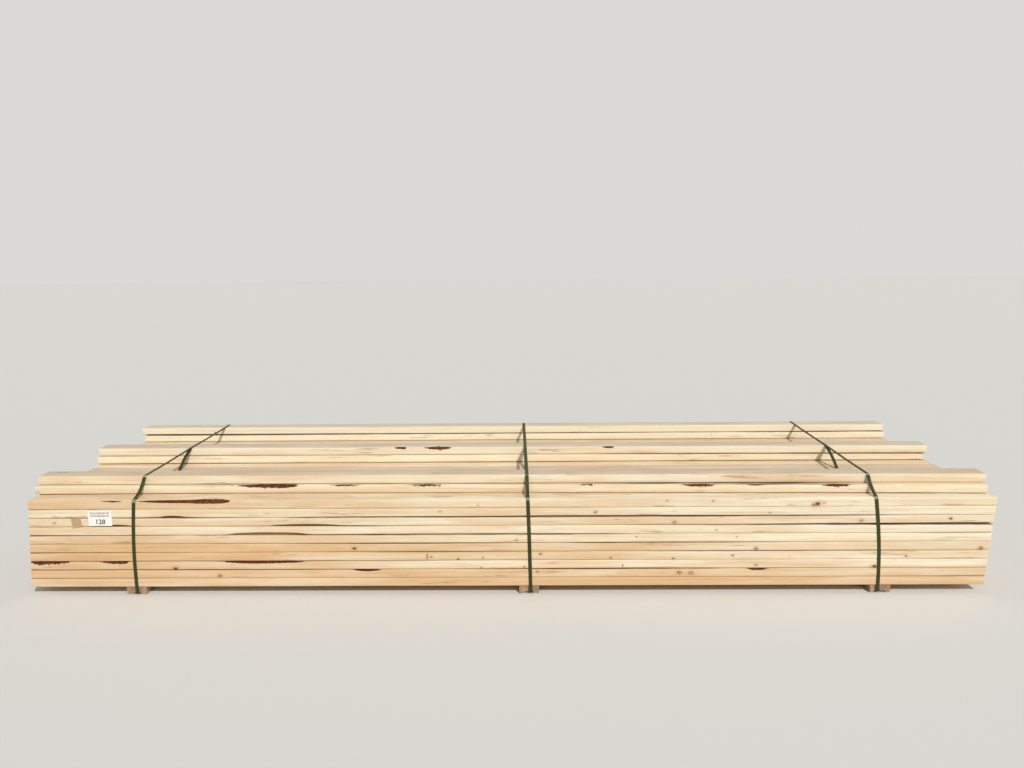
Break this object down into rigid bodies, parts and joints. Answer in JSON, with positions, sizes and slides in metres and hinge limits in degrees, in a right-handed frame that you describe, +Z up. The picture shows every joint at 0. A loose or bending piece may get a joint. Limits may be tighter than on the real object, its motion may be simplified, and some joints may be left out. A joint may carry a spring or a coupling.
{
  "type": "bundle of pine studs",
  "caption": "Long strapped bundle of planed pine studs lying flat in layers on grooved dunnage, with part of the upper layers used and the rest left as ridges.",
  "frame": {"origin": "on the floor under the middle of the bundle", "axes": "+X along the studs to the right as seen from the front, +Y to the back, +Z up"},
  "size_m": [4.3005, 1.1968, 0.5254],
  "materials": {
    "pine_stud": "planed pine with knots and a little wane",
    "pine_dunnage": "planed pine, scuffed",
    "green_strap": "embossed strapping with a dull sheen",
    "white_card": "plain card",
    "tan_tape": "torn paper tape"
  },
  "bodies": {
    "root": {"layer_01": "pine_stud", "layer_02": "pine_stud", "layer_03": "pine_stud", "layer_04": "pine_stud", "layer_05": "pine_stud", "layer_06": "pine_stud", "layer_07": "pine_stud", "layer_08": "pine_stud", "layer_09": "pine_stud", "layer_10": "pine_stud", "ridge_front": "pine_stud", "ridge_middle": "pine_stud", "ridge_back": "pine_stud", "dunnage_left": "pine_dunnage", "dunnage_centre": "pine_dunnage", "dunnage_right": "pine_dunnage", "strap_left": "green_strap", "strap_centre": "green_strap", "strap_right": "green_strap", "tag_card": "white_card", "tape_scrap": "tan_tape"}
  },
  "joints": []
}
